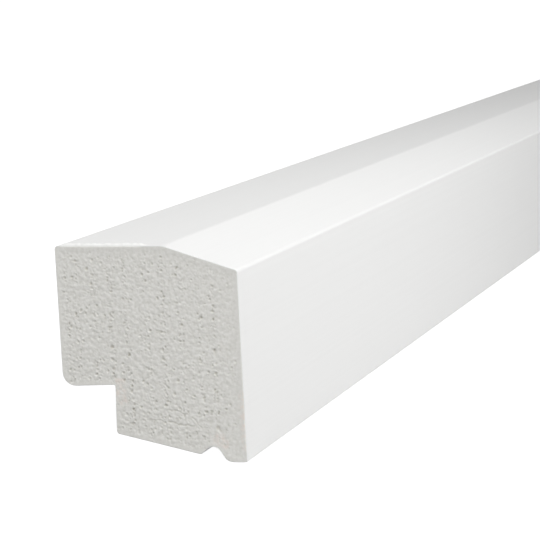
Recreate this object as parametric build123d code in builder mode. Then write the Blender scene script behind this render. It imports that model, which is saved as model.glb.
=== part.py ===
# A length of extruded cellular PVC sill moulding.
# Millimetres, +Z up. The length runs along X and the weather side faces -Y.
# The stick lies as it rests on a level floor, tipped back flat on its sloping underside.
import os
from math import atan2, cos, radians, tan

from build123d import *

# Stock and overall section, as fixed to a wall: depth is from the back, height is from the drip lip
stock_length = 2438.4
section_depth = 44.45
section_height = 50.8

# Top: the flat that the window frame stands on, then the slope that sheds the water
top_flat_depth = 26.6
top_fall_angle = 0.76
weather_slope_angle = 18.2

# Rabbet under the back half, which the siding tucks into; its two walls lean in towards its root
rabbet_depth = 12.7
tread_height = 17.6
rabbet_undercut = 0.36

# Drip edge: a lip at the front, and behind it a groove in the sloping underside that stops water creeping back
underside_slope_angle = 13.0
lip_width = 4.75
groove_front_run = 2.95
groove_back_run = 3.55
groove_root_height = 4.57

# Rounding of each corner of the section
back_top_round = 0.8
ridge_round = 3.5
nose_round = 0.9
lip_front_round = 0.4
lip_back_round = 2.0
groove_root_round = 2.2
groove_mouth_round = 0.5
heel_round = 0.9
rabbet_round = 0.5
back_foot_round = 3.2

# Top corners
ridge_height = section_height - top_flat_depth * tan(radians(top_fall_angle))
nose_height = ridge_height - (section_depth - top_flat_depth) * tan(radians(weather_slope_angle))

# Drip lip: its rounded back starts at the toe and turns up into the groove
lip_back = section_depth - lip_width
groove_flank_angle = atan2(groove_root_height, groove_front_run)
lip_toe = lip_back + lip_back_round * tan(groove_flank_angle / 2)


# The underside just touches the rounded back of the lip, so the floor meets both
def underside_height(depth):
    slope = radians(underside_slope_angle)
    return (lip_toe - depth) * tan(slope) - lip_back_round * (1 / cos(slope) - 1)


groove_root = lip_back - groove_front_run
groove_mouth = groove_root - groove_back_run

# Corners in order round the section, each with its rounding
corner_rounds = {
    (0, section_height): back_top_round,
    (top_flat_depth, ridge_height): ridge_round,
    (section_depth, nose_height): nose_round,
    (section_depth, 0): lip_front_round,
    (lip_back, 0): lip_back_round,
    (groove_root, groove_root_height): groove_root_round,
    (groove_mouth, underside_height(groove_mouth)): groove_mouth_round,
    (rabbet_depth, underside_height(rabbet_depth)): heel_round,
    (rabbet_depth + rabbet_undercut, tread_height + rabbet_undercut): rabbet_round,
    (0, tread_height): back_foot_round,
}

# The section as fixed to a wall, with X towards the weather side and Y up
with BuildSketch() as section:
    with BuildLine():
        FilletPolyline(*corner_rounds.keys(), radius=corner_rounds.values(), close=True)
    make_face()

# The section tipped back until its underside is level, set on the floor and centred front to back
resting_box = section.sketch.rotate(Axis.Z, underside_slope_angle).bounding_box()
resting_plane = Plane(
    origin=(0, resting_box.center().X, -resting_box.min.Y),
    x_dir=(0, -1, 0),
    z_dir=(-1, 0, 0),
)

with BuildPart() as sill_moulding:
    with BuildSketch(resting_plane):
        add(section.sketch, rotation=underside_slope_angle)
    extrude(amount=stock_length / 2, both=True)

os.makedirs("parts", exist_ok=True)
sill_moulding.part.label = "sill_moulding"
export_step(sill_moulding.part, "parts/sill_moulding.step")
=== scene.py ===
from math import atan2, ceil, cos, pi, radians, sin, tan

import bmesh
import bpy
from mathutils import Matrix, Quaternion, Vector


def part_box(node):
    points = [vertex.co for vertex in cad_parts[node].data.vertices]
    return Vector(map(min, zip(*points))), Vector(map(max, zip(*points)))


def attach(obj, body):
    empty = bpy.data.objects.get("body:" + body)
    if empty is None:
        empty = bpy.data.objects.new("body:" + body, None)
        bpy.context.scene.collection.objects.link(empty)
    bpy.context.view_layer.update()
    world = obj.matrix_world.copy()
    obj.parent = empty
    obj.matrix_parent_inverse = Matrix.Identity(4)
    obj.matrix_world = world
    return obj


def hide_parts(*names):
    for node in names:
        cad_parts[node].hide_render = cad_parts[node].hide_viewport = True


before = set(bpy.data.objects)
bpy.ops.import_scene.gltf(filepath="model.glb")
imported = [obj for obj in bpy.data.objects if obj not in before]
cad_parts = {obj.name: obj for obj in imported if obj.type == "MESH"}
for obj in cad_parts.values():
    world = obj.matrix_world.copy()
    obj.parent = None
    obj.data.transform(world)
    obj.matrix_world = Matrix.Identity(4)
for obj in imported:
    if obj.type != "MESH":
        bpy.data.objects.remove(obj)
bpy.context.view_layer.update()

# Sill moulding
# One length of cellular PVC, foamed and pushed through a die in one go: a dense white skin over fine gas
# cells. It lies on its sloping underside. A saw has cut both ends square across and torn the cells open.
mm = 0.001
section_depth = 44.45 * mm
section_height = 50.8 * mm
top_flat_depth = 26.6 * mm
top_fall = radians(0.76)
weather_slope = radians(18.2)
rabbet_depth = 12.7 * mm
tread_height = 17.6 * mm
rabbet_undercut = 0.36 * mm
underside_slope = radians(13.0)
lip_width = 4.75 * mm
lip_front_round = 0.4 * mm
lip_back_round = 2.0 * mm
groove_front_run = 2.95 * mm
groove_back_run = 3.55 * mm
groove_root_height = 4.57 * mm

ridge_height = section_height - top_flat_depth * tan(top_fall)
nose_height = ridge_height - (section_depth - top_flat_depth) * tan(weather_slope)
lip_back = section_depth - lip_width
lip_toe = lip_back + lip_back_round * tan(atan2(groove_root_height, groove_front_run) / 2)
groove_root = lip_back - groove_front_run
groove_mouth = groove_root - groove_back_run


# The underside just touches the rounded back of the drip lip
def underside_height(depth):
    return (lip_toe - depth) * tan(underside_slope) - lip_back_round * (1 / cos(underside_slope) - 1)


# Corners of the section as fixed to a wall: depth from the back, height from the drip lip, rounding
section_corners = [
    (0, section_height, 0.8 * mm),
    (top_flat_depth, ridge_height, 3.5 * mm),
    (section_depth, nose_height, 0.9 * mm),
    (section_depth, 0, lip_front_round),
    (lip_back, 0, lip_back_round),
    (groove_root, groove_root_height, 2.2 * mm),
    (groove_mouth, underside_height(groove_mouth), 0.5 * mm),
    (rabbet_depth, underside_height(rabbet_depth), 0.9 * mm),
    (rabbet_depth + rabbet_undercut, tread_height + rabbet_undercut, 0.5 * mm),
    (0, tread_height, 3.2 * mm),
]

# The stick is tipped back on its underside, so depth and height run aslant in the frame.
# The foot is where depth and height are zero, at the end that faces the camera.
low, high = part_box("sill_moulding")
stock_length = high.x - low.x
forward = Vector((0, -cos(underside_slope), sin(underside_slope)))
upward = Vector((0, sin(underside_slope), cos(underside_slope)))
lip_reach = (section_depth - lip_front_round) * forward + lip_front_round * upward
heel_reach = rabbet_depth * forward + underside_height(rabbet_depth) * upward
foot = Vector((low.x, low.y + lip_front_round - lip_reach.y, low.z - heel_reach.z))


def spot(depth, height, along=0):
    return foot + forward * depth + upward * height + Vector((along, 0, 0))


# The section: a ring of points, each pulled to its corner, and each corner then rounded
bpy.ops.object.select_all(action="DESELECT")
bpy.ops.mesh.primitive_circle_add(
    vertices=len(section_corners),
    radius=section_depth / 2,
    fill_type="NGON",
    calc_uvs=False,
    location=spot(section_depth / 2, section_height / 2),
    rotation=(0, -pi / 2, 0),
)
sill = bpy.context.object
sill.name = "sill_moulding_length"
bpy.ops.object.transform_apply(location=True, rotation=True, scale=True)
bpy.ops.object.mode_set(mode="EDIT")
bpy.ops.mesh.select_mode(type="VERT")


def pick_point(unlike):
    bpy.ops.mesh.select_all(action="DESELECT")
    mesh = bmesh.from_edit_mesh(sill.data)
    point = min(mesh.verts, key=unlike)
    point.select_set(True)
    mesh.select_flush_mode()
    bmesh.update_edit_mesh(sill.data)
    return point.co.copy()


corner_places = [spot(depth, height) for depth, height, rounding in section_corners]
for index, corner in enumerate(corner_places):
    start = pick_point(lambda point: abs(point.index - index))
    bpy.ops.transform.translate(value=corner - start)

turn_per_facet = radians(12)
for index, corner in enumerate(corner_places):
    next_corner = corner_places[(index + 1) % len(corner_places)]
    corner_angle = (corner_places[index - 1] - corner).angle(next_corner - corner)
    rounding = section_corners[index][2]
    pick_point(lambda point: (point.co - corner).length)
    bpy.ops.mesh.bevel(
        offset=rounding / tan(corner_angle / 2),
        offset_type="ABSOLUTE",
        segments=max(3, ceil((pi - corner_angle) / turn_per_facet)),
        affect="VERTICES",
    )

# The section drawn out to its length
bpy.ops.mesh.select_all(action="SELECT")
bpy.ops.mesh.extrude_region_move(TRANSFORM_OT_translate={"value": (stock_length, 0, 0)})
bpy.ops.mesh.select_all(action="SELECT")
bpy.ops.mesh.normals_make_consistent(inside=False)


def pick_faces(wanted):
    bpy.ops.mesh.select_mode(type="FACE")
    bpy.ops.mesh.select_all(action="DESELECT")
    mesh = bmesh.from_edit_mesh(sill.data)
    for face in mesh.faces:
        face.select_set(wanted(face))
    bmesh.update_edit_mesh(sill.data)


def is_sawn(face):
    return abs(face.normal.x) > 0.99


# A flat layout for baking: each sawn end has a quarter of the sheet, and the long sides lie in rows below
mesh = bmesh.from_edit_mesh(sill.data)
layout = mesh.loops.layers.uv.new("OFBake")
margin = 0.01
end_scale = (0.5 - 2 * margin) / section_height
walls = [face for face in mesh.faces if not is_sawn(face)]
girth = sum(face.calc_area() for face in walls) / stock_length
row_start = margin
for face in mesh.faces:
    if is_sawn(face):
        island = 0 if face.normal.x < 0 else 0.5
        for corner in face.loops:
            reach = corner.vert.co - foot
            across = island + margin + reach.dot(forward) * end_scale
            up = 0.5 + margin + reach.dot(upward) * end_scale
            corner[layout].uv = (across, up)
for face in walls:
    row_height = face.calc_area() / stock_length / girth * (0.5 - 2 * margin)
    around = face.normal.cross(Vector((1, 0, 0)))
    for corner in face.loops:
        across = margin + (corner.vert.co.x - low.x) / stock_length * (1 - 2 * margin)
        is_upper = (corner.vert.co - face.calc_center_median()).dot(around) > 0
        corner[layout].uv = (across, row_start + (row_height if is_upper else 0))
    row_start += row_height
bmesh.update_edit_mesh(sill.data)

# The saw takes the arris off each cut, and its heat softens a narrow strip of skin beside it
arris = 0.12 * mm
pick_faces(is_sawn)
bpy.ops.mesh.region_to_loop()
bpy.ops.mesh.bevel(offset=arris, segments=1, affect="EDGES", clamp_overlap=False)
softened_width = 2.2 * mm
burr_rings = (0.4 * mm, 0.9 * mm, 1.6 * mm, softened_width)
for reach in burr_rings:
    for cut in (low.x + reach, high.x - reach):
        bpy.ops.mesh.select_all(action="SELECT")
        bpy.ops.mesh.bisect(plane_co=(cut, 0, 0), plane_no=(1, 0, 0))

# The skin and the sawn foam each have their finish
sill.data.materials.append(bpy.data.materials.new("extruded PVC skin"))
sill.data.materials.append(bpy.data.materials.new("sawn PVC foam"))
pick_faces(is_sawn)
sill.active_material_index = 1
bpy.ops.object.material_slot_assign()


# Cuts the faces at one end into a fine grid, which the saw's marks are pressed into
def cut_grid(is_at_end, pitch):
    pick_faces(is_at_end)
    bpy.ops.mesh.hide(unselected=True)
    for direction, reach in ((forward, section_depth), (upward, section_height)):
        for step in range(1, ceil(reach / pitch)):
            bpy.ops.mesh.select_all(action="SELECT")
            bpy.ops.mesh.bisect(plane_co=foot + direction * step * pitch, plane_no=direction)
    bpy.ops.mesh.reveal(select=False)


near_pitch = 0.17 * mm
far_pitch = 0.34 * mm
cut_grid(lambda face: face.calc_center_median().x < low.x + softened_width, near_pitch)
cut_grid(lambda face: face.calc_center_median().x > high.x - softened_width, far_pitch)
bpy.ops.object.mode_set(mode="OBJECT")
sharpest_smooth = radians(40)
bpy.ops.object.shade_smooth_by_angle(angle=sharpest_smooth)


# Adds one node: inputs are values, nodes or sockets by the input's name or number, settings its own options
def add(tree, kind, inputs=None, **settings):
    node = tree.nodes.new(kind)
    for option, value in settings.items():
        setattr(node, option, value)
    for name, value in (inputs or {}).items():
        if isinstance(value, bpy.types.Node):
            value = value.outputs[0]
        if isinstance(value, bpy.types.NodeSocket):
            tree.links.new(value, node.inputs[name])
        else:
            node.inputs[name].default_value = value
    return node


# The saw's marks, in mm from here on. Places on the cut are its depth, height and length along the stick.
marks = bpy.data.node_groups.new("saw marks", "GeometryNodeTree")
marks.interface.new_socket("Geometry", in_out="INPUT", socket_type="NodeSocketGeometry")
marks.interface.new_socket("Geometry", in_out="OUTPUT", socket_type="NodeSocketGeometry")
sawn_stick = add(marks, "NodeGroupInput")
position = add(marks, "GeometryNodeInputPosition")
from_foot = add(marks, "ShaderNodeVectorMath", {0: position, 1: foot}, operation="SUBTRACT")
depth_mm, height_mm, along_mm = [
    add(marks, "ShaderNodeVectorMath", {0: from_foot, 1: axis / mm}, operation="DOT_PRODUCT").outputs["Value"]
    for axis in (forward, upward, Vector((1, 0, 0)))
]
place_mm = add(marks, "ShaderNodeCombineXYZ", {0: depth_mm, 1: height_mm, 2: along_mm})
normal = add(marks, "ShaderNodeSeparateXYZ", {0: add(marks, "GeometryNodeInputNormal")})
facing = add(marks, "ShaderNodeMath", {0: normal.outputs["X"]}, operation="ABSOLUTE")
is_wall = add(marks, "ShaderNodeMath", {0: facing, 1: 0.1}, operation="LESS_THAN")
walls_only = add(
    marks, "GeometryNodeSeparateGeometry", {"Geometry": sawn_stick, "Selection": is_wall}, domain="FACE"
)
from_skin = add(marks, "GeometryNodeProximity", {"Geometry": walls_only}, target_element="FACES")
from_skin_mm = add(
    marks, "ShaderNodeMath", {0: from_skin.outputs["Distance"], 1: 1 / mm}, operation="MULTIPLY"
)


# A curve through given points, from 0 to reach along and 0 to 1 up
def shape_curve(value, reach, points):
    curve = add(marks, "ShaderNodeFloatCurve", {
        "Value": add(marks, "ShaderNodeMath", {0: value, 1: 1 / reach}, operation="MULTIPLY")
    })
    line = curve.mapping.curves[0]
    while len(line.points) < len(points):
        line.points.new(0.5, 0.5)
    for point, (along, up) in zip(line.points, points):
        point.location = (along / reach, up)
    curve.mapping.update()
    return curve


# Cells are torn open most in upright columns, one for each stroke of the blade, and in rows where the melt
# flowed together, and least in the dense rim
column_width_mm = 2.2
column_points = [(0, 0.5)]
for middle, strength in (
    (2.3, 0.75), (4.6, 0.75), (9, 0.95), (13, 1), (17, 1),
    (21.8, 0.85), (25.8, 1), (30, 0.85), (34.6, 0.8), (37.7, 0.8),
):
    column_points.append((middle - column_width_mm / 2, 0.28))
    column_points.append((middle, strength))
    column_points.append((middle + column_width_mm / 2, 0.28))
columns = shape_curve(depth_mm, 44.5, column_points + [(44.5, 0.3)])
rows = shape_curve(height_mm, 51, (
    (0, 0.7), (9, 1), (13.5, 1), (17.5, 0.7), (20, 1), (22, 0.75), (28, 0.6),
    (32, 0.9), (35, 0.65), (42, 0.65), (46.5, 0.95), (48.5, 0.6), (51, 0.4),
))
dense_rim_mm = 1.6
rim_tearing = 0.3
in_core = add(
    marks, "ShaderNodeMapRange", {"Value": from_skin_mm, "From Max": dense_rim_mm, "To Min": rim_tearing}
)

# The melt cools fastest along the top, the weather slope and the front, so the foam is denser there
cool_side_mm = 5
from_cool_mm = cool_side_mm
for tilt, side_depth, side_height in (
    (top_fall, 0, section_height),
    (weather_slope, section_depth, nose_height),
    (pi / 2, section_depth, 0),
):
    side_out = Vector((sin(tilt), cos(tilt), 0))
    side_reach_mm = side_out.dot(Vector((side_depth, side_height, 0))) / mm
    out_mm = add(marks, "ShaderNodeVectorMath", {0: place_mm, 1: side_out}, operation="DOT_PRODUCT")
    from_side_mm = add(
        marks, "ShaderNodeMath", {0: side_reach_mm, 1: out_mm.outputs["Value"]}, operation="SUBTRACT"
    )
    from_cool_mm = add(marks, "ShaderNodeMath", {0: from_cool_mm, 1: from_side_mm}, operation="MINIMUM")
off_cool = add(
    marks, "ShaderNodeMapRange", {"Value": from_cool_mm, "From Max": cool_side_mm, "To Min": rim_tearing}
)
tearing = columns
for share in (rows, in_core, off_cool):
    tearing = add(marks, "ShaderNodeMath", {0: tearing, 1: share}, operation="MULTIPLY")

# The blade drags the soft plastic, so the cells lie on a warped grid
drag_size_mm = 1.4
drag_mm = 0.45
drag = add(marks, "ShaderNodeTexNoise", {"Vector": place_mm, "Scale": 1 / drag_size_mm, "Detail": 1})
drag = add(
    marks, "ShaderNodeVectorMath", {0: drag.outputs["Color"], 1: (0.5, 0.5, 0.5)}, operation="SUBTRACT"
)
dragged = add(
    marks,
    "ShaderNodeVectorMath",
    {0: drag, 1: (drag_mm, drag_mm, drag_mm), 2: place_mm},
    operation="MULTIPLY_ADD",
)

# The foam lies a little behind the cut, all but its edge
foam_level_mm = 0.14
foam_edge_mm = 2
foam_mm = add(
    marks,
    "ShaderNodeMapRange",
    {"Value": from_skin_mm, "From Max": foam_edge_mm, "To Max": foam_level_mm},
    interpolation_type="SMOOTHSTEP",
)

# Open cells in four sizes: spacing, share of them torn, width of the pit as a share of the spacing, depth.
# A torn cell is a pit with a low rim that stands up from the foam.
rim_share = 0.25
hollow_mm = foam_mm
for spacing_mm, torn_share, pit_width, pit_depth_mm in (
    (0.6, 0.9, 1.0, 0.18),
    (0.95, 1.0, 1.0, 0.32),
    (1.4, 0.5, 0.85, 0.4),
    (2.3, 0.1, 0.5, 0.4),
):
    cells = add(marks, "ShaderNodeTexVoronoi", {"Vector": dragged, "Scale": 1 / spacing_mm})
    chance = add(marks, "ShaderNodeSeparateXYZ", {0: cells.outputs["Color"]})
    torn = add(marks, "ShaderNodeMath", {0: tearing, 1: torn_share}, operation="MULTIPLY")
    torn_by = add(marks, "ShaderNodeMath", {0: torn, 1: chance.outputs["X"]}, operation="SUBTRACT")
    torn_mm = add(marks, "ShaderNodeMapRange", {"Value": torn_by, "From Max": 0.15, "To Max": pit_depth_mm})
    crater = shape_curve(cells.outputs["Distance"], 2 * pit_width, (
        (0, 1), (0.15 * pit_width, 0.95), (0.36 * pit_width, 0.35), (0.5 * pit_width, 0),
        (0.6 * pit_width, 0.05), (0.8 * pit_width, rim_share), (2 * pit_width, rim_share),
    ))
    crater = add(marks, "ShaderNodeMath", {0: crater, 1: rim_share}, operation="SUBTRACT")
    hollow_mm = add(
        marks, "ShaderNodeMath", {0: crater, 1: torn_mm, 2: hollow_mm}, operation="MULTIPLY_ADD"
    )

# Single large blisters: depth, height and radius
blister_depth_mm = 0.48
for blister_depth, blister_height, radius_mm in (
    (12.8, 26.9, 0.75), (16.9, 25.0, 0.6), (15.3, 19.1, 0.55), (28.6, 19.0, 0.65), (30.2, 32.0, 0.5),
    (26.2, 38.6, 0.5), (7.6, 45.3, 0.6), (35.1, 33.7, 0.5), (34.8, 15.0, 0.5), (37.7, 8.0, 0.9),
    (17.4, 18.9, 0.4), (20.0, 18.8, 0.4),
):
    middle = spot(blister_depth * mm, blister_height * mm)
    away = add(marks, "ShaderNodeVectorMath", {0: position, 1: middle}, operation="DISTANCE")
    blister = add(
        marks,
        "ShaderNodeMapRange",
        {
            "Value": away.outputs["Value"],
            "From Min": radius_mm * mm,
            "From Max": 0.3 * radius_mm * mm,
            "To Max": blister_depth_mm,
        },
        interpolation_type="SMOOTHSTEP",
    )
    hollow_mm = add(marks, "ShaderNodeMath", {0: hollow_mm, 1: blister}, operation="MAXIMUM")

# Long tears where the melt flowed round the groove: start, middle and end
tear_lines = add(marks, "GeometryNodeJoinGeometry")
for line in (
    ((19.6, 10.4), (23, 9.4), (32.5, 8.2)),
    ((23.8, 12.4), (32, 11.4), (33.6, 8)),
):
    start, middle, end = [spot(depth * mm, height * mm) for depth, height in line]
    curve = add(marks, "GeometryNodeCurveQuadraticBezier", {"Start": start, "Middle": middle, "End": end})
    line_mesh = add(marks, "GeometryNodeCurveToMesh", {"Curve": curve})
    marks.links.new(line_mesh.outputs[0], tear_lines.inputs[0])
wander_mm = 1.5
wander = add(
    marks,
    "ShaderNodeVectorMath",
    {0: drag, 1: Vector((0, 1, 1)) * wander_mm * mm, 2: position},
    operation="MULTIPLY_ADD",
)
from_tear = add(
    marks,
    "GeometryNodeProximity",
    {"Geometry": tear_lines, "Sample Position": wander},
    target_element="EDGES",
)
tear_width_mm = 0.35
tear_depth_mm = 0.35
tear_gap_mm = 2
tear_mm = add(
    marks,
    "ShaderNodeMapRange",
    {
        "Value": from_tear.outputs["Distance"],
        "From Min": tear_width_mm * mm,
        "From Max": 0,
        "To Max": tear_depth_mm,
    },
)
tear_gaps = add(marks, "ShaderNodeTexNoise", {"Vector": place_mm, "Scale": 1 / tear_gap_mm, "Detail": 0})
tear_gaps = add(marks, "ShaderNodeMapRange", {"Value": tear_gaps, "From Min": 0.36, "From Max": 0.46})
tear_mm = add(marks, "ShaderNodeMath", {0: tear_mm, 1: tear_gaps}, operation="MULTIPLY")
hollow_mm = add(marks, "ShaderNodeMath", {0: hollow_mm, 1: tear_mm}, operation="MAXIMUM")

# A fine crumb all over, which dies away in the dense rim
crumb_size_mm = 1.1
crumb_depth_mm = 0.5
crumb_edge_mm = 1.2
crumb_at_edge_mm = 0.2 * crumb_depth_mm
crumb = add(
    marks,
    "ShaderNodeTexNoise",
    {"Vector": dragged, "Scale": 1 / crumb_size_mm, "Detail": 2, "Roughness": 0.6},
)
crumb = add(marks, "ShaderNodeMath", {0: crumb, 1: 0.5}, operation="SUBTRACT")
crumb_mm = add(
    marks,
    "ShaderNodeMapRange",
    {
        "Value": from_skin_mm,
        "From Max": crumb_edge_mm,
        "To Min": crumb_at_edge_mm,
        "To Max": crumb_depth_mm,
    },
)
crumb_mm = add(marks, "ShaderNodeMath", {0: crumb_mm, 1: off_cool}, operation="MULTIPLY")
hollow_mm = add(marks, "ShaderNodeMath", {0: crumb, 1: crumb_mm, 2: hollow_mm}, operation="MULTIPLY_ADD")
hollow_mm = add(marks, "ShaderNodeMath", {0: hollow_mm, 1: 0}, operation="MAXIMUM")

# The softened skin stands up in a ragged burr along the top flat, where the blade leaves the stick.
# The top of the cut is rolled back under it, and so is the lower part of its front edge.
burr_height_mm = 0.5
burr_ragged_mm = 1.1
roll_depth_mm = 0.27
roll_height_mm = 0.3
fall_mm = add(marks, "ShaderNodeMath", {0: depth_mm, 1: tan(top_fall)}, operation="MULTIPLY")
over_foot_mm = add(marks, "ShaderNodeMath", {0: height_mm, 1: fall_mm}, operation="ADD")
under_top_mm = add(
    marks, "ShaderNodeMath", {0: section_height / mm, 1: over_foot_mm}, operation="SUBTRACT"
)
from_far_mm = add(marks, "ShaderNodeMath", {0: stock_length / mm, 1: along_mm}, operation="SUBTRACT")
from_cut_mm = add(marks, "ShaderNodeMath", {0: along_mm, 1: from_far_mm}, operation="MINIMUM")
on_top = add(marks, "ShaderNodeMapRange", {"Value": under_top_mm, "From Min": 0.08, "From Max": 0.02})
burr_length = shape_curve(depth_mm, 44, ((0, 0), (0.9, 0), (2.2, 1), (20, 1), (23.5, 0), (44, 0)))
burr_shape = shape_curve(
    from_cut_mm, softened_width / mm, ((0, 0.1), (0.12, 0.15), (0.4, 0.4), (0.9, 0.7), (1.6, 1), (2.2, 0))
)
ragged = add(marks, "ShaderNodeTexNoise", {"Vector": place_mm, "Scale": 1 / burr_ragged_mm, "Detail": 2})
ragged = add(
    marks, "ShaderNodeMapRange", {"Value": ragged, "From Min": 0.3, "From Max": 0.6, "To Min": 0.5}
)
burr_mm = ragged
for part_of_burr in (on_top, burr_length, burr_shape, burr_height_mm):
    burr_mm = add(marks, "ShaderNodeMath", {0: burr_mm, 1: part_of_burr}, operation="MULTIPLY")
from_front_mm = add(marks, "ShaderNodeMath", {0: section_depth / mm, 1: depth_mm}, operation="SUBTRACT")
front_length = shape_curve(height_mm, 51, ((0, 0), (1, 0), (4, 1), (24, 0.9), (38, 0.2), (46, 0), (51, 0)))
beside_cut = add(marks, "ShaderNodeMath", {0: from_cut_mm, 1: 0.2}, operation="LESS_THAN")
rolled_mm = []
for from_edge_mm, edge_length in ((under_top_mm, burr_length), (from_front_mm, front_length)):
    roll = add(marks, "ShaderNodeMath", {0: ragged, 1: edge_length}, operation="MULTIPLY")
    roll = add(
        marks, "ShaderNodeMath", {0: from_edge_mm, 1: -1 / roll_height_mm, 2: roll}, operation="MULTIPLY_ADD"
    )
    roll = add(marks, "ShaderNodeMath", {0: roll, 1: beside_cut}, operation="MULTIPLY", use_clamp=True)
    rolled_mm.append(add(marks, "ShaderNodeMath", {0: roll, 1: roll_depth_mm}, operation="MULTIPLY"))
top_roll_mm, front_roll_mm = rolled_mm
roll_mm = add(marks, "ShaderNodeMath", {0: top_roll_mm, 1: front_roll_mm}, operation="MAXIMUM")

# Sawn points go inward and burr points go up
is_cut = add(marks, "ShaderNodeMath", {0: facing, 1: 0.9}, operation="GREATER_THAN")
hollow_mm = add(marks, "ShaderNodeMath", {0: hollow_mm, 1: is_cut}, operation="MULTIPLY")
inward_mm = add(marks, "ShaderNodeMath", {0: hollow_mm, 1: roll_mm}, operation="MAXIMUM")
outward = add(marks, "ShaderNodeMath", {0: normal.outputs["X"]}, operation="SIGN")
inward = add(marks, "ShaderNodeMath", {0: outward, 1: -mm}, operation="MULTIPLY")
inward = add(marks, "ShaderNodeMath", {0: inward, 1: inward_mm}, operation="MULTIPLY")
pressed = add(marks, "ShaderNodeCombineXYZ", {"X": inward})
raised = add(marks, "ShaderNodeVectorMath", {0: upward * mm, "Scale": burr_mm}, operation="SCALE")
move = add(marks, "ShaderNodeVectorMath", {0: pressed, 1: raised}, operation="ADD")
marked = sawn_stick
for name, value in (
    ("hollow_mm", hollow_mm),
    ("burr_mm", burr_mm),
    ("top_roll_mm", top_roll_mm),
    ("from_skin_mm", from_skin_mm),
):
    marked = add(
        marks, "GeometryNodeStoreNamedAttribute", {"Geometry": marked, "Name": name, "Value": value}
    )
marked = add(marks, "GeometryNodeSetPosition", {"Geometry": marked, "Offset": move})
add(marks, "NodeGroupOutput", {0: marked})
sawing = sill.modifiers.new("saw marks", "NODES")
sawing.node_group = marks
bpy.ops.object.modifier_apply(modifier=sawing.name)

# Large flats keep their own direction, so that only the rounded corners shade as rounded
flats = sill.modifiers.new("flat faces", "WEIGHTED_NORMAL")
flats.weight = 100
flats.keep_sharp = True
bpy.ops.object.modifier_apply(modifier=flats.name)


# Turns an sRGB hex colour to the linear values that a shader takes
def linear(hex_colour):
    values = [int(hex_colour[place:place + 2], 16) / 255 for place in (1, 3, 5)]
    return [v / 12.92 if v <= 0.04045 else ((v + 0.055) / 1.055) ** 2.4 for v in values] + [1]


# Mixes two colours by a share from 0 to 1
def mix(tree, share, first, second, **settings):
    colours = {"Factor": share, "A": first, "B": second}
    return add(tree, "ShaderNodeMix", colours, data_type="RGBA", **settings).outputs["Result"]


# Extruded PVC skin: calibrated and cooled against polished steel, so it is an even satin white, with faint
# lines drawn along the length by the die and a very slight orange peel; a painted highlight whitens it along
# the burr
skin = sill.data.materials["extruded PVC skin"]
skin.use_nodes = True
skin_tree = skin.node_tree
skin_shader = skin_tree.nodes["Principled BSDF"]
skin_shader.inputs["Specular IOR Level"].default_value = 0.3
skin_shader.inputs["IOR"].default_value = 1.53
skin_place = add(skin_tree, "ShaderNodeTexCoord").outputs["Object"]
die_line_width = 0.7 * mm
die_line_length = 400 * mm
die_place = add(
    skin_tree,
    "ShaderNodeVectorMath",
    {0: skin_place, 1: (1 / die_line_length, 1 / die_line_width, 1 / die_line_width)},
    operation="MULTIPLY",
)
die_lines = add(skin_tree, "ShaderNodeTexNoise", {"Vector": die_place, "Scale": 1, "Detail": 2})
peel_size = 2.5 * mm
peel = add(skin_tree, "ShaderNodeTexNoise", {"Vector": skin_place, "Scale": 1 / peel_size, "Detail": 1})
skin_relief = add(skin_tree, "ShaderNodeMath", {0: die_lines, 1: peel}, operation="ADD")
relief_height = 0.004 * mm
skin_bump = add(
    skin_tree, "ShaderNodeBump", {"Height": skin_relief, "Strength": 1, "Distance": relief_height}
)
skin_tree.links.new(skin_bump.outputs["Normal"], skin_shader.inputs["Normal"])
skin_roughness = add(
    skin_tree,
    "ShaderNodeMapRange",
    {"Value": die_lines, "From Min": 0.3, "From Max": 0.7, "To Min": 0.57, "To Max": 0.63},
)
skin_tree.links.new(skin_roughness.outputs[0], skin_shader.inputs["Roughness"])
skin_colour = mix(skin_tree, die_lines, linear("#EDEDEC"), linear("#F1F1F0"))
# Painted highlight: the skin is painted near-white along the burr, where the burr catches the light
burr_painted_highlight = add(skin_tree, "ShaderNodeAttribute", attribute_name="burr_mm").outputs["Fac"]
burr_painted_highlight = add(skin_tree, "ShaderNodeMapRange", {"Value": burr_painted_highlight, "From Max": 0.1})
skin_colour = mix(skin_tree, burr_painted_highlight, skin_colour, linear("#FEFEFC"))
skin_tree.links.new(skin_colour, skin_shader.inputs["Base Color"])

# Sawn PVC foam: the cut cells scatter the light, so it is a dull, finely mottled warm grey beside the skin,
# with painted shade in the pits, a painted highlight on the rolled top edge, and faint cream stains at the
# die's corners
foam = sill.data.materials["sawn PVC foam"]
foam.use_nodes = True
foam_tree = foam.node_tree
foam_shader = foam_tree.nodes["Principled BSDF"]
foam_shader.inputs["Roughness"].default_value = 0.9
foam_place = add(foam_tree, "ShaderNodeTexCoord").outputs["Object"]
foam_section = add(foam_tree, "ShaderNodeVectorMath", {0: foam_place, 1: (0, 1, 1)}, operation="MULTIPLY")
stain = 0
for stain_depth, stain_height, radius_mm in (
    (14.2, 16.6, 2.2), (14.1, 18.6, 1.8), (14.7, 14.3, 1.8), (38.0, 5.3, 2.2), (39.4, 4.2, 1.6),
    (44.4, 15.5, 1.8), (44.4, 13, 1.9), (44.4, 10.5, 1.9), (44.4, 8, 1.9), (44.4, 5.5, 1.8),
    (44.4, 3.5, 1.4),
):
    middle = spot(stain_depth * mm, stain_height * mm) * Vector((0, 1, 1))
    away = add(foam_tree, "ShaderNodeVectorMath", {0: foam_section, 1: middle}, operation="DISTANCE")
    stain_here = add(
        foam_tree,
        "ShaderNodeMapRange",
        {"Value": away.outputs["Value"], "From Min": radius_mm * mm, "From Max": 0.3 * radius_mm * mm},
        interpolation_type="SMOOTHSTEP",
    )
    stain = add(foam_tree, "ShaderNodeMath", {0: stain, 1: stain_here}, operation="MAXIMUM")
stain_patch = 1.2 * mm
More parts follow.
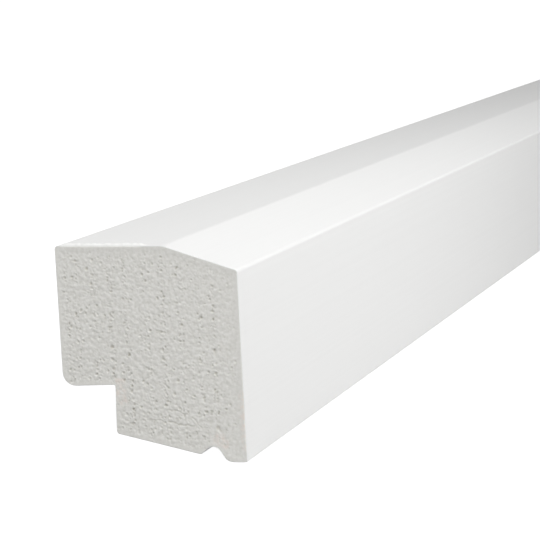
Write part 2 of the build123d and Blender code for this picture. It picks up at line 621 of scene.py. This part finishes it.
breaks = add(foam_tree, "ShaderNodeTexNoise", {"Vector": foam_place, "Scale": 1 / stain_patch, "Detail": 2})
breaks = add(foam_tree, "ShaderNodeMapRange", {"Value": breaks, "From Min": 0.35, "From Max": 0.6})
stain = add(foam_tree, "ShaderNodeMath", {0: stain, 1: breaks}, operation="MULTIPLY")
mottle_size = 0.8 * mm
mottle = add(foam_tree, "ShaderNodeTexNoise", {"Vector": foam_place, "Scale": 1 / mottle_size, "Detail": 2})
mottle = add(foam_tree, "ShaderNodeMapRange", {"Value": mottle, "From Min": 0.3, "From Max": 0.7})
mottle = mix(foam_tree, mottle, linear("#EAE9E3"), linear("#F9F8F4"))
foam_rim = add(foam_tree, "ShaderNodeAttribute", attribute_name="from_skin_mm").outputs["Fac"]
foam_rim = add(
    foam_tree, "ShaderNodeMapRange", {"Value": foam_rim, "From Max": dense_rim_mm, "To Min": 0.4}
)
foam_colour = mix(foam_tree, foam_rim, linear("#F2F1EC"), mottle)
foam_colour = mix(foam_tree, stain, foam_colour, linear("#F6EFE8"))
# Painted shade: the colour darkens with the depth of each pit, where shade falls in the hollows
foam_hollow = add(foam_tree, "ShaderNodeAttribute", attribute_name="hollow_mm").outputs["Fac"]
painted_pit_shade = add(foam_tree, "ShaderNodeValToRGB", {"Fac": foam_hollow})
painted_pit_shade.color_ramp.elements[0].position = 0.15
painted_pit_shade.color_ramp.elements[0].color = linear("#FFFFFF")
painted_pit_shade.color_ramp.elements[1].position = 0.85
painted_pit_shade.color_ramp.elements[1].color = linear("#D0CEC9")
painted_pit_shade.color_ramp.elements.new(0.55).color = linear("#E6E4DF")
foam_colour = mix(foam_tree, 1, foam_colour, painted_pit_shade, blend_type="MULTIPLY")
# Painted highlight: the rolled top edge of the cut is painted near-white, where it catches the light
rolled_edge_painted_highlight = add(foam_tree, "ShaderNodeAttribute", attribute_name="top_roll_mm").outputs["Fac"]
rolled_edge_painted_highlight = add(foam_tree, "ShaderNodeMapRange", {"Value": rolled_edge_painted_highlight, "From Max": 0.06, "To Max": 0.5})
foam_colour = mix(foam_tree, rolled_edge_painted_highlight, foam_colour, linear("#FEFDFA"))
foam_tree.links.new(foam_colour, foam_shader.inputs["Base Color"])

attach(sill, "root")
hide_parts("sill_moulding")

# Studio
# A plain white floor that runs out to a white surround. The floor glows a little, and more for the camera, so
# that it is white in the picture, and it keeps the faint shadow under the stick.
floor_size = 14
floor_gap = 0.05 * mm
bpy.ops.mesh.primitive_plane_add(size=floor_size, location=(0, 0, low.z - floor_gap))
floor = bpy.context.object
floor.name = "floor"
bpy.ops.object.transform_apply(location=True, rotation=True, scale=True)
white_floor = bpy.data.materials.new("white floor")
white_floor.use_nodes = True
floor_tree = white_floor.node_tree
floor_shader = floor_tree.nodes["Principled BSDF"]
floor_shader.inputs["Base Color"].default_value = linear("#959595")
floor_shader.inputs["Roughness"].default_value = 0.9


# A strength that differs for rays that show the surface to the eye, straight or by reflection or glass
def strength_by_ray(tree, unseen, seen):
    path = add(tree, "ShaderNodeLightPath").outputs
    shows = path["Is Camera Ray"]
    for ray in ("Is Glossy Ray", "Is Transmission Ray"):
        shows = add(tree, "ShaderNodeMath", {0: shows, 1: path[ray]}, operation="MAXIMUM")
    strength = add(tree, "ShaderNodeMapRange", {"Value": shows, "To Min": unseen, "To Max": seen})
    return strength.outputs[0]


floor_glow = 0.2
floor_seen_glow = 0.92
floor_strength = strength_by_ray(floor_tree, floor_glow, floor_seen_glow)
floor_tree.links.new(floor_strength, floor_shader.inputs["Emission Strength"])
floor_shader.inputs["Emission Color"].default_value = linear("#FFFFFF")
floor.data.materials.append(white_floor)

world = bpy.data.worlds.new("white surround")
bpy.context.scene.world = world
world.use_nodes = True
world_tree = world.node_tree
surround = world_tree.nodes["Background"]
surround.inputs["Color"].default_value = linear("#FFFFFF")
ambient = 0.15
white = 1
surround_strength = strength_by_ray(world_tree, ambient, white)
world_tree.links.new(surround_strength, surround.inputs["Strength"])

# Lamps
# Four soft boxes: one high before the sawn end, one low before it on the weather side, one beside the near
# stretch, and a long one over the rest of the stick
middle_depth = 22 * mm
middle_height = 25 * mm
end_middle = spot(middle_depth, middle_height)
near_middle = spot(middle_depth, middle_height, 75 * mm)
far_middle = spot(middle_depth, middle_height, 1750 * mm)
for name, place, aim, size, power in (
    ("high softbox", spot(-100 * mm, 800 * mm, -400 * mm), end_middle, (0.3, 0.3), 2.88),
    ("end softbox", spot(500 * mm, 350 * mm, -400 * mm), end_middle, (0.3, 0.3), 1.43),
    ("side softbox", spot(500 * mm, 350 * mm, 150 * mm), near_middle, (0.3, 0.3), 1.88),
    ("far softbox", spot(400 * mm, 900 * mm, 1750 * mm), far_middle, (1.4, 0.4), 4),
):
    lamp = bpy.data.lights.new(name, "AREA")
    lamp.shape = "RECTANGLE"
    lamp.size, lamp.size_y = size
    lamp.energy = power
    lamp_object = bpy.data.objects.new(name, lamp)
    bpy.context.scene.collection.objects.link(lamp_object)
    lamp_object.location = place
    lamp_object.rotation_euler = (aim - place).to_track_quat("-Z", "Y").to_euler()

# Camera
# Close to the near end, a little above it and to the weather side, as in the photograph, with a long lens
eye = spot(209.66 * mm, 113.85 * mm, -494.19 * mm)
aim = spot(52.315 * mm, 44.589 * mm)
lean = radians(9.595)
camera_data = bpy.data.cameras.new("camera")
camera_data.sensor_width = 36
camera_data.lens = 154.217
camera_data.clip_start = 0.01
camera = bpy.data.objects.new("camera", camera_data)
bpy.context.scene.collection.objects.link(camera)
camera.location = eye
camera.rotation_mode = "QUATERNION"
camera.rotation_quaternion = (aim - eye).to_track_quat("-Z", "Y") @ Quaternion((0, 0, 1), lean)
bpy.context.scene.camera = camera
bpy.context.scene.view_settings.view_transform = "Standard"
